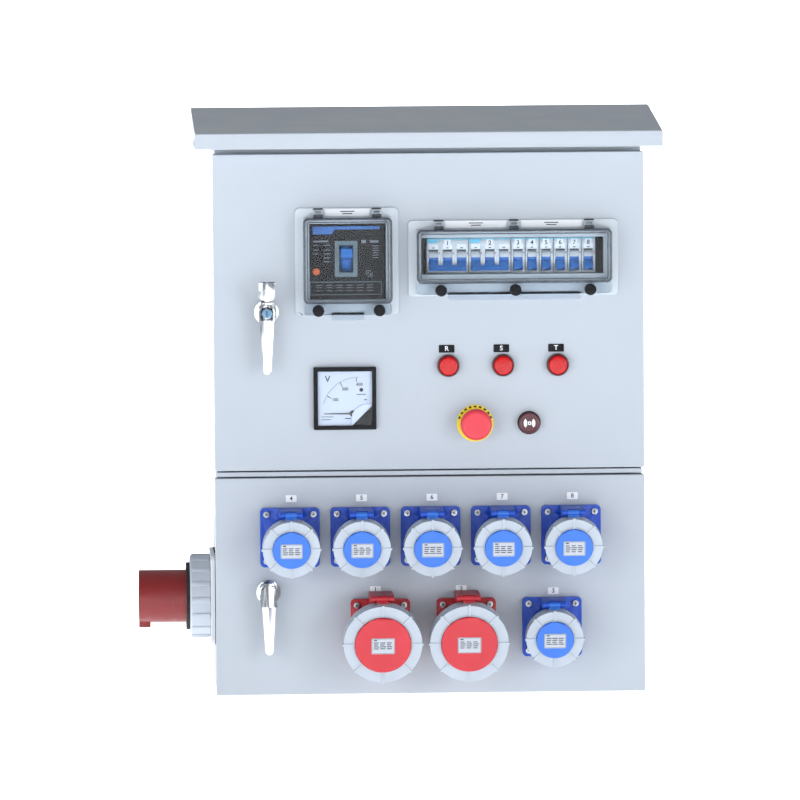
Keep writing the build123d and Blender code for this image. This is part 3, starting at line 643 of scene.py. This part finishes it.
def make_mccb_face():
    """Bezel, header, test button and plain print, placed from the middle of the breaker."""
    at = front(MAIN.x, MAIN.z, NOSE)
    bm = bmesh.new()
    bezel = at @ Matrix.Translation((-1.5, 3.2, 0))
    loft(bm, (29, 46), 1.5, [(0, 0), (0, 2), (5.6, 2), (5.6, 0)], bezel, 0.4, True)
    panel = at @ Matrix.Translation((-2, -34.4, 0))
    loft(bm, (92, 17), 1.2, [(0, 0), (0, 0.6), (0.9, 0.6), (0.9, 0)], panel, 0, True)
    make_piece("mccb_bezel", bm, ROOT, "olive", bevel=0.15)

    bm = bmesh.new()
    plates(bm, at, [(-44, 41.5, 40.8, 44.6)], 0.5)
    slab(bm, [(-44, 34.8), (-20, 34.8), (-14, 44.6), (-44, 44.6)], (0, 0.8), at, 0.1)
    make_piece("mccb_header", bm, ROOT, "sky")

    bm = bmesh.new()
    turn(bm, [(0, 0), (4.4, 0), (4.4, 1.2), (3.2, 1.2), (3.2, 2.2), (0, 2.2)],
         at @ Matrix.Translation((-39.8, -13, 0)), 0.3, steps=32)
    make_piece("mccb_test_button", bm, ROOT, "orange")

    bm = bmesh.new()
    rows = [(-43.5, -24, 24.7, 26.7)]
    rows += [(-43.5, -37, z, z + 0.9) for z in (20.2, 14.2, 9.2)]
    rows += [(-30, -22, z, z + 0.9) for z in (20.2, 14.2, 9.2, 4.2, -0.8)]
    rows += [(18, 24, 23.2, 27.2), (29, 40, 23.7, 26.7)]
    rows += [(32, 40, z, z + 0.8) for z in (19.2, 16.2, 13.2, 10.2, 7.2, 4.2)]
    rows += [(x, x + 8, z, z + 0.8) for x in range(-40, 26, 13) for z in (-30.8, -33.8, -37.8)]
    rows += [(24 + 2.3 * i, 25.4 + 2.3 * i, -19.8 + 2.3 * j, -18.4 + 2.3 * j)
             for i in range(4) for j in range(4) if (i * 3 + j * 5) % 4]
    plates(bm, at, rows, 0.15)
    bar(bm, (-0.5, 2), (7.8, 9.4), (0, 0.2), at)
    make_piece("mccb_print", bm, ROOT, "steel_grey")


def make_mcb_faces():
    """Number stickers, print, covers and toggle shields, at heights from the row's middle."""
    at = front(0, MCB_Z, MODULES)
    ink, sky, white, red = (bmesh.new() for _ in range(4))
    left = MCB_LEFT
    for number, poles in enumerate(POLES, 1):
        centre = left + poles * POLE / 2
        for k in range(poles):
            x = left + POLE * (k + 0.5)
            plates(sky, at, [(x - 8.2, x + 8.2, 20.2, 21.6)], 0.2)
            plates(ink, at, [(x - 1.5, x + 1.5, 9.2, 10.4)], 0.3)
            plates(red, at, [(x + 6.6, x + 8, 2, 4)], 0.15)
            bar(white, (x - 6.1, x + 6.1), (7.8, 14.6), (-2, 0.1), at, 0.3, 0.05)
            for rib in (x - 7.4, x + 7.4):
                bar(white, (rib - 0.7, rib + 0.7), (-18, -1), (0, 1), at, 0.4)
            pivot = facing((x, MODULES + 8, MCB_Z - 3), (1, 0, 0))
            shield = bmesh.new()
            turn(shield, [(8.2, -5.6), (8.9, -5.6), (8.9, 5.6), (8.2, 5.6)], pivot, 0, True, 24,
                 (radians(95), radians(176)))
            toggle = f"mcb_toggle_{number}"
            make_piece(f"{toggle}_shield_{k + 1}", shield, toggle, "breaker")
        if poles == 3:
            slab(sky, [(left + 1.4, 16), (left + 13, 16), (left + 15.4, 20), (left + 1.4, 20)],
                 (0, 0.25), at)
        bar(white, (centre - 4.2, centre + 4.2), (11.2, 20.4), (0, 0.5), at, 0.5)
        write(ink, str(number), 5.6, front(centre, MCB_Z + 15.8, MODULES - 0.5))
        left += poles * POLE
        if number < len(POLES):
            bar(ink, (left - 0.25, left + 0.25), (-21.8, 22), (-0.4, 0.12), at, 0.1, 0.02)
    make_piece("mcb_print", ink, ROOT, "ink")
    make_piece("mcb_tags", sky, ROOT, "cyan")
    make_piece("mcb_stickers", white, ROOT, "paper")
    make_piece("mcb_marks", red, ROOT, "red")

    bm = bmesh.new()
    rows = (low("mcb_bodies").z, high("mcb_bodies").z)
    at = front(0, 0, low("din_rail").y)
    for a, b in ((MCB_LEFT - 20.5, MCB_LEFT - 0.5), (MCB_RIGHT + 0.5, MCB_RIGHT + 20.5)):
        bar(bm, (a, b), rows, (20, 48), at, 1, 0.6)
    make_piece("mcb_blanks", bm, ROOT, "black", bevel=0.4)


make_mccb_face()
make_mcb_faces()

# ---------------------------------------------------------------- meter, signals, stop button

METER = middle("meter_case")
CARD = 34.7  # half the width of the meter's dial card


def make_meter():
    """Bezel, printed dial with a covered corner, and the glass."""
    at = front(METER.x, METER.z, DOOR)
    bm = bmesh.new()
    loft(bm, (80, 80), 1.5, [(0, 0), (0, 7, 0.9), (5.4, 7, 0.6), (5.4, 0)], at, 0, True)
    loft(bm, (66, 66), 3, [(0, 1.9), (0, DOOR - high("meter_case").y)], at)
    slab(bm, [(CARD, -CARD), (CARD, -10.4), (9.8, -CARD)], (2.1, 5.2), at, 0.3)
    make_piece("meter_bezel", bm, UPPER, "black", ("meter_case",), 0.2)

    bm = bmesh.new()
    bar(bm, (-CARD, CARD), (-CARD, CARD), (1.8, 2.1), at, 0.2, 0.02)
    arch = [(28, -7.4), (19.6, -9), (13.4, -13.6), (9, -20)]
    corner = [(33.8, -10), (33.8, -8), *arch, (8, -34.4), (9.4, -34.4)]
    slab(bm, corner, (2, 4.4), at, 0.2)
    make_piece("meter_dial", bm, UPPER, "dial")

    bm = bmesh.new()
    arm = at @ Matrix.Translation((17, -19, 2.05))
    scale = [(45.9, 0), (45.9, 0.12), (46.3, 0.12), (46.3, 0)]
    turn(bm, scale, arm, 0, True, 48, (radians(88), radians(166)))
    for degrees in (93, 120.5, 151):  # 450, 300 and 150
        tick = arm @ Matrix.Rotation(radians(degrees), 4, "Z")
        bar(bm, (40, 45.4), (-0.45, 0.45), (0, 0.2), tick, 0.1, 0.02)
    for k in range(1, 14):
        tick = arm @ Matrix.Rotation(radians(93 + 5.2 * k), 4, "Z")
        bar(bm, (43.6, 45.6), (-0.15, 0.15), (0, 0.15), tick, 0.05, 0.02)
    figures = (("V", 8, -22, 24.6), ("450", 4, 18.6, 17.6),
               ("300", 4, 0.2, 11.8), ("150", 4, -12.6, -1.8))
    for text, size, x, z in figures:
        write(bm, text, size, front(METER.x + x, METER.z + z, DOOR - 2.15), 0.08)
    dot = at @ Matrix.Translation((21, 10.7, 0))
    turn(bm, [(0, 2), (2.5, 2), (2.5, 2.3), (0, 2.3)], dot, steps=24)
    rows = [(15, 27, 4.4, 5.3), (24.6, 28.2, -2.6, -1.4), (0, 7.6, -26.4, -25.2)]
    rows += [(-30, -14.5, -24, -23.2), (-30, -18, -27.6, -26.8)]
    for a, b, c, d in rows:
        bar(bm, (a, b), (c, d), (2.05, 2.2), at, 0.2, 0.02)
    make_piece("meter_print", bm, UPPER, "ink")

    bm = bmesh.new()
    bar(bm, (-34.6, 34.6), (-34.6, 34.6), (5.4, 6.4), at, 0.4, 0.1)
    make_piece("meter_glass", bm, UPPER, "glass")


HEAD = 14.5  # a signal unit's radius in front of the door
SIGNALS = low("signal_units"), middle("signal_units"), high("signal_units")
SIGNAL_Z = SIGNALS[2].z - HEAD
LAMPS = {"R": SIGNALS[0].x + HEAD, "S": SIGNALS[1].x, "T": SIGNALS[2].x - HEAD}
BUZZER = (SIGNALS[1].x + 33, SIGNALS[0].z + HEAD)
STOP = middle("estop_body")


def make_signals():
    """Three lamps, their lettered tags and the buzzer."""
    rear = DOOR - high("signal_units").y
    bezels, lenses, rears, tags, letters = (bmesh.new() for _ in range(5))
    bezel = [(11.4, 0), (HEAD, 0), (HEAD, 4), (13.8, 8.4), (12.5, 8.8), (12.3, 5), (11.4, 5)]
    barrel = [(0, 0.8), (11, 0.8), (11, -17.5), (14, -18), (14, -22), (11, -22.4)]
    barrel += [(11, rear), (0, rear)]
    for letter, x in LAMPS.items():
        at = front(x, SIGNAL_Z, DOOR)
        turn(bezels, bezel, at, 0.5, True)
        turn(lenses, [(0, 1), (12.2, 1), (12.2, 8.2), (10.5, 9.6), (0, 10)], at, 1.2)
        bar(tags, (-10, 10), (-5, 5), (0, 0.7), front(x - 2, SIGNAL_Z + 21.6, DOOR), 0.8, 0.2)
        write(letters, letter, 6, front(x - 2, SIGNAL_Z + 21.6, DOOR - 0.72), 0.06)
    for x, z in [(x, SIGNAL_Z) for x in LAMPS.values()] + [BUZZER]:
        at = front(x, z, DOOR)
        turn(rears, barrel, at, 0.3)
        for side in (-4, 4):
            bar(rears, (side - 1.4, side + 1.4), (-3, 3), (rear - 4, rear + 0.5), at)
    at = front(*BUZZER, DOOR)
    turn(rears, [(11.6, 0), (14.8, 0), (14.8, 3), (13.8, 4.4), (11.6, 4.4)], at, 0.5, True)
    make_piece("signal_rears", rears, UPPER, "black", ("signal_units",))
    make_piece("lamp_bezels", bezels, UPPER, "maroon")
    make_piece("lamp_lenses", lenses, UPPER, "lamp")
    make_piece("lamp_tags", tags, UPPER, "black")
    make_piece("lamp_letters", letters, UPPER, "paper")

    bm = bmesh.new()
    turn(bm, [(0, 2), (13.6, 2), (13.6, 9), (12, 10), (10.4, 9.4), (0, 9.4)], at, 0.5)
    make_piece("buzzer_cap", bm, UPPER, "maroon")
    bm = bmesh.new()
    near, far = (-0.6, -0.3, 0, 0.3, 0.6), (0.85, 0.5, 0.2, -0.2, -0.5, -0.85)
    for start in (0, pi):
        wing = [(r * cos(start + a), r * sin(start + a))
                for r, angles in ((3.4, near), (7.6, far)) for a in angles]
        slab(bm, wing, (9.2, 9.8), at, 0.1)
    turn(bm, [(1.1, 9.2), (1.1, 9.8), (2.4, 9.8), (2.4, 9.2)], at, 0.1, True, 32)
    make_piece("buzzer_symbol", bm, UPPER, "paper")


def make_stop():
    """Legend ring with dashes, collar and contact block of the emergency button."""
    at = front(STOP.x, STOP.z, DOOR)
    rear = DOOR - high("estop_body").y
    bm = bmesh.new()
    turn(bm, [(14.2, 0), (23.5, 0), (23.5, 1.8), (14.2, 2)], at, 0.3, True, 96)
    make_piece("stop_legend", bm, UPPER, "yellow", ("estop_body",))
    bm = bmesh.new()
    collar = [(0, 10), (14.4, 10), (14.4, 0), (11, -0.4), (11, -17.5)]
    turn(bm, collar + [(15, -18), (15, -22), (11, -22.4), (11, -26)], at, 0.3)
    loft(bm, (30, 30), 2, [(0, -26), (0, rear)], at)
    make_piece("stop_collar", bm, UPPER, "black", bevel=0.2)
    bm = bmesh.new()
    for k in range(9):
        turned = at @ Matrix.Rotation(radians(160 - 17.5 * k), 4, "Z")
        bar(bm, (20.2, 22.6), (-1.7, 1.7), (1.7, 2.1), turned, 0.3, 0.05)
    make_piece("stop_dashes", bm, UPPER, "ink")


make_meter()
make_signals()
make_stop()


# ---------------------------------------------------------------- sockets


DISC_FRONT = 7.3  # how far a cap's disc stands beyond the ring's reach
RING_FRONT = 4.3  # and the ring's own face
SCREW = 30  # a flange screw's distance from the socket's axis, across and up


def make_socket(number):
    """What is printed and ringed on a socket: its rating plate with its print, and its pale rim.
    """
    size = SOCKETS[number]
    lid, ring = f"socket_lid_{number}", f"socket_ring_{number}"
    reach = size["mouth"] + size["rim"]
    width, tall = size["label"]
    at = socket_frame(number, reach + DISC_FRONT)
    bm = bmesh.new()
    bar(bm, (-width / 2, width / 2), (-tall / 2 - 1, tall / 2 - 1), (-0.3, 0.35), at, 1.4, 0.15)
    make_piece(f"rating_plate_{number}", bm, lid, "plate")

    bm = bmesh.new()
    loft(bm, (width - 1.2, tall - 1.2), 1, [(0, 0.3), (0, 0.45), (0.35, 0.45), (0.35, 0.3)],
         at @ Matrix.Translation((0, -1, 0)), 0, True)
    top = tall / 2 - 3.6
    bar(bm, (-width / 2 + 3, -width / 2 + 7), (top - 0.6, top + 0.8), (0.3, 0.5), at, 0.2, 0.03)
    for line in range(4):
        level = top - 3.2 - 2.6 * line
        for a, b in ((0.1, 0.34), (0.37, 0.62), (0.66, 0.9)):
            shift = 0.03 * ((number + line) % 3)
            ends = (width * (a - 0.5), width * (b - 0.5 - shift))
            bar(bm, ends, (level - 0.55, level + 0.55), (0.3, 0.5), at, 0.2, 0.03)
    make_piece(f"rating_print_{number}", bm, lid, "ink")

    bm = bmesh.new()
    disc = size["disc"]
    at = socket_frame(number, 0)
    face = reach + RING_FRONT
    a, b, back, lip = disc + 0.25, disc + 1.6, face - 1, face + 0.9
    turn(bm, [(a, back), (a, lip), (b, lip), (b, back)], at, 0.35, True, 96)
    make_piece(f"ring_lip_{number}", bm, ring, "grey")


def make_screw_slots():
    """Dark crosses on the flange screws, painted in as the shade of their cross recesses; no
    recess is cut.
    """
    bm = bmesh.new()
    head = low("socket_screws").y
    for number in SOCKETS:
        centre = socket_frame(number, 0).translation
        for x, z in ((-SCREW, -SCREW), (-SCREW, SCREW), (SCREW, -SCREW), (SCREW, SCREW)):
            turned = Matrix.Rotation(radians(20 * number + x), 4, "Z")
            at = front(centre.x + x, centre.z + z, head) @ turned
            # painted shade: dark bars, standing slightly proud, stand for the shade in each recess
            bar(bm, (-2.3, 2.3), (-0.45, 0.45), (-0.3, 0.12), at, 0.2, 0.03)
            bar(bm, (-0.45, 0.45), (-2.3, 2.3), (-0.3, 0.1), at, 0.2, 0.03)
    make_piece("socket_screw_slots", bm, LOWER, "ink")


def make_tags():
    """Number tags above the sockets; socket 3 has its tag nearer than the others."""
    papers, figures = bmesh.new(), bmesh.new()
    for number, size in SOCKETS.items():
        centre = socket_frame(number, 0).translation
        x = centre.x - 6 if size is RED else centre.x + 2
        z = centre.z + (45.5 if number == 3 else 49.5)
        bar(papers, (-7, 7), (-4.5, 4.5), (0, 0.5), front(x, z, DOOR), 1, 0.15)
        write(figures, str(number), 5.4, front(x, z, DOOR - 0.52), 0.06)
    make_piece("number_tags", papers, LOWER, "paper")
    make_piece("number_figures", figures, LOWER, "ink")


for number in SOCKETS:
    make_socket(number)
make_tags()
make_screw_slots()


# ---------------------------------------------------------------- locks and inlet


def make_keyway(door, node):
    """The key cylinder in the middle of a lever lock, with a dark bar painted in as the shade of
    its keyway.
    """
    box = middle(node)
    at = front(box.x, high(node).z - 15.5, DOOR)
    bm = bmesh.new()
    turn(bm, [(0, 20), (6.6, 20), (6.6, 26.6), (5.6, 27), (2, 27), (0, 27)], at, 0.3, steps=48)
    make_piece(f"{door}_key_cylinder", bm, door, "keyface")
    bm = bmesh.new()
    # painted shade: a dark bar on the face stands for the keyway slot's shade; no slot is cut
    bar(bm, (-0.7, 0.7), (-3.6, 3.6), (26.9, 27.15), at, 0.2, 0.03)
    make_piece(f"{door}_keyway", bm, door, "ink")


for door, node in ((UPPER, "upper_lock_body"), (LOWER, "lower_lock_body")):
    make_keyway(door, node)


def make_gaskets():
    """Black rubber between the inlet and the wall, and behind its screwed ring."""
    flange = high("inlet_flange").x
    centre = middle("inlet_flange")
    bm = bmesh.new()
    at = facing((flange, centre.y, centre.z), (-1, 0, 0))
    loft(bm, (116.6, 116.6), 8, [(0, 0.02), (0, 1.9), (40, 1.9), (40, 0.02)], at, 0.2, True)
    turn(bm, [(36, 33.2), (43.6, 33.2), (43.6, 38), (36, 38)], at, 0.5, True, 96)
    make_piece("inlet_gaskets", bm, ROOT, "rubber")


make_gaskets()


# ---------------------------------------------------------------- CAD pieces with edges broken

SOFTENED = (
    ("enclosure_shell", ROOT, "paint", "body_paint", 0.5),
    ("rain_hood", ROOT, "paint", "body_paint", 0.6),
    ("upper_door", UPPER, "paint", "body_paint", 0.5),
    ("lower_door", LOWER, "paint", "body_paint", 0.5),
    ("hinge_brackets", ROOT, "zinc", "zinc_steel", 0.4),
    ("mounting_plate", ROOT, "zinc", "zinc_steel", 0.4),
    ("din_rail", ROOT, "zinc", "zinc_steel", 0.2),
    ("terminal_bars", ROOT, "copper", "copper_alloy", 0.5),
    ("mccb_body", ROOT, "black", "black_plastic", 0.8),
    ("mccb_toggle", "mccb_toggle", "toggle", "toggle_blue", 0.8),
    ("mcb_bodies", ROOT, "breaker", "white_plastic", 0.6),
    ("inlet_flange", ROOT, "white", "white_plastic", 1.0),
    ("inlet_ring", "inlet_ring", "inlet_grey", "grey_plastic", 0.6),
    ("inlet_sleeve", ROOT, "inlet_red", "inlet_red", 0.6),
    ("inlet_pins", ROOT, "chrome", "chrome", 0.2),
    ("upper_door_seal", UPPER, "rubber", "seal_rubber", 1.2),
    ("lower_door_seal", LOWER, "rubber", "seal_rubber", 1.2),
    ("mccb_window_frame", UPPER, "window_grey", "window_grey", 0.6),
    ("mcb_window_frame", UPPER, "window_grey", "window_grey", 0.6),
    ("meter_needle", "meter_needle", "needle", "needle_black", 0.1),
    ("estop_button", "estop_button", "estop", "estop_red", 0.2),
    ("upper_lock_body", UPPER, "chrome", "chrome", 0.5),
    ("lower_lock_body", LOWER, "chrome", "chrome", 0.5),
    ("upper_lever", "upper_lever", "chrome", "chrome", 0.6),
    ("lower_lever", "lower_lever", "chrome", "chrome", 0.6),
    ("upper_lock_flap", "upper_lock_flap", "chrome", "chrome", 0.5),
    ("lower_lock_flap", "lower_lock_flap", "chrome", "chrome", 0.5),
    ("socket_inserts", LOWER, "white", "white_plastic", 0.4),
    ("socket_screws", LOWER, "zinc", "zinc_steel", 0.3),
)
for node, body, finish, slot, bevel in SOFTENED:
    soften(node, body, finish, bevel)
for number, size in SOCKETS.items():
    soften(f"mcb_toggle_{number}", f"mcb_toggle_{number}", "toggle", 0.5)
    colour = "red" if size is RED else "blue"
    soften(f"socket_lid_{number}", f"socket_lid_{number}", f"{colour}_cap", 0.8)
    soften(f"socket_ring_{number}", f"socket_ring_{number}", "grey", 0.6)
ROW, LOWEST = (socket_frame(number, 0).translation.z for number in (4, 1))
BLUE_TOP, RED_TOP = 38.2, 48  # where the hinge arms are cut back, above the sockets' axes
soften("blue_socket_housings", LOWER, "blue", 0.8,
       cuts=((ROW - 45, ROW + BLUE_TOP), (LOWEST - 45, LOWEST + BLUE_TOP)))
soften("red_socket_housings", LOWER, "red", 0.8,
       cuts=((LOWEST - 60, LOWEST + RED_TOP),))


# ---------------------------------------------------------------- stage


def make_floor():
    """A plain pale floor, wide on every side, that glows softly away from the box."""
    bm = bmesh.new()
    turn(bm, [(0, -0.4), (60000, -0.4)], Matrix.Identity(4), steps=96)
    mesh = bpy.data.meshes.new("floor")
    bm.to_mesh(mesh)
    bm.free()
    mesh.transform(Matrix.Scale(MM, 4))
    f = Finish("floor_pale", Emission_Color=(1, 1, 1, 1))
    f.colour(f.mix(f.noise(2, 3, 0.5), linear(246, 247, 249), linear(250, 251, 252)))
    f.roughness(f.spread(f.noise(8, 3, 0.5), MOST, (0.8, 0.9)))
    distance = f.nodes.new("ShaderNodeVectorMath")
    distance.operation = "LENGTH"
    f.link(f.place, distance.inputs[0])
    glow = f.spread(distance.outputs["Value"], (0.6, 4), (0.6, 0.85))
    f.link(glow, f.shader.inputs["Emission Strength"])
    mesh.materials.append(f.material)
    floor = bpy.data.objects.new("floor", mesh)
    scene.collection.objects.link(floor)


def add_light(name, where, power):
    """A wide soft lamp turned to the middle of the box; where is in metres."""
    lamp = bpy.data.lights.new(name, "AREA")
    lamp.shape = "RECTANGLE"
    lamp.size, lamp.size_y = 2.4, 1.6
    lamp.energy = power
    holder = bpy.data.objects.new(name, lamp)
    holder.location = where
    aim = Vector((0, 0, 0.4)) - Vector(where)
    holder.rotation_euler = aim.to_track_quat("-Z", "Y").to_euler()
    scene.collection.objects.link(holder)


def make_world():
    """Soft white surroundings, a little brighter overhead."""
    world = bpy.data.worlds.new("studio")
    scene.world = world
    world.use_nodes = True
    nodes, link = world.node_tree.nodes, world.node_tree.links.new
    direction = nodes.new("ShaderNodeTexCoord").outputs["Generated"]
    split = nodes.new("ShaderNodeSeparateXYZ")
    link(direction, split.inputs[0])
    ramp = nodes.new("ShaderNodeMapRange")
    ramp.inputs["From Min"].default_value = 0.15
    ramp.inputs["From Max"].default_value = 0.7
    ramp.inputs["To Min"].default_value = 0.62
    ramp.inputs["To Max"].default_value = 0.7
    link(split.outputs["Z"], ramp.inputs["Value"])
    background = nodes["Background"]
    background.inputs["Color"].default_value = (0.97, 0.985, 1, 1)
    link(ramp.outputs["Result"], background.inputs["Strength"])


def make_camera():
    """A long lens, a little above the box and to its left."""
    distance = 10
    target = Vector((-0.038, DOOR * MM, 0.380))
    where = Vector((-0.508, DOOR * MM - distance, 1.175))
    lens = bpy.data.cameras.new("camera")
    lens.sensor_width = 36
    lens.lens = 353.8
    lens.clip_end = 60
    camera = bpy.data.objects.new("camera", lens)
    camera.location = where
    level = (target - where).to_track_quat("-Z", "Y")
    roll = Matrix.Rotation(radians(-0.35), 4, "Z")
    camera.rotation_euler = (level.to_matrix().to_4x4() @ roll).to_euler()
    scene.collection.objects.link(camera)
    scene.camera = camera


make_floor()
make_world()
make_camera()
add_light("key_left", (-3.2, -4.2, 1.0), 66)
add_light("fill_right", (3.4, -4.6, 0.9), 96)
scene.view_settings.view_transform = "Standard"
scene.view_settings.exposure = -0.45
